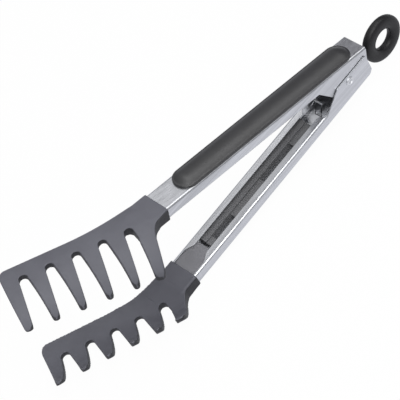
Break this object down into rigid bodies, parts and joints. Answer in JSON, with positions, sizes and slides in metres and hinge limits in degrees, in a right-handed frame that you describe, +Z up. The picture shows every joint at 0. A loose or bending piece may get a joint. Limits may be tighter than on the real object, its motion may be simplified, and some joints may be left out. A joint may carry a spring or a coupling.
{
  "type": "spring loaded comb tongs",
  "caption": "Open spring-loaded tongs with sheet steel channel arms, black soft grips, slanted comb heads with long teeth and a pull ring that slides to lock them shut.",
  "frame": {"origin": "centre of the bounding box on the surface the open tongs lie on, under the pull ring and the lower grip", "axes": "+X from the hinge towards the comb heads, +Y along the hinge axis, +Z up from the lower arm to the upper arm"},
  "size_m": [0.3366, 0.0772, 0.0958],
  "materials": {
    "arm_steel": "satin, drawn lengthwise",
    "pin_steel": "polished",
    "lock_steel": "satin",
    "spring_steel": "drawn wire",
    "grip_rubber": "soft matt",
    "frame_plastic": "matt moulded",
    "head_nylon": "fine moulded texture",
    "ring_plastic": "semi-gloss moulded"
  },
  "bodies": {
    "lower_side": {"lower_arm": "arm_steel", "lower_grip": "grip_rubber", "lower_grip_frame": "frame_plastic", "lower_head": "head_nylon", "hinge_rivet": "pin_steel", "hinge_sleeve": "frame_plastic", "lock_catch": "lock_steel", "torsion_spring": "spring_steel"},
    "upper_side": {"upper_arm": "arm_steel", "upper_grip": "grip_rubber", "upper_grip_frame": "frame_plastic", "upper_head": "head_nylon", "lock_guide_pin": "pin_steel"},
    "pull_lock": {"lock_slide": "lock_steel", "pull_ring": "ring_plastic"}
  },
  "joints": [
    {"name": "arm_hinge", "type": "hinge", "parent": "lower_side", "child": "upper_side", "pos_m": [-0.10831, 0.00521, 0.02743], "axis": [0, 1, 0], "range_deg": [0, 12], "stiffness_Nm_per_rad": 0.55, "springref_deg": -51.57, "deforming": ["torsion_spring"]},
    {"name": "lock_pull", "type": "slide", "parent": "upper_side", "child": "pull_lock", "axis": [-0.9726, 0, -0.2326], "range_m": [0, 0.007]}
  ]
}
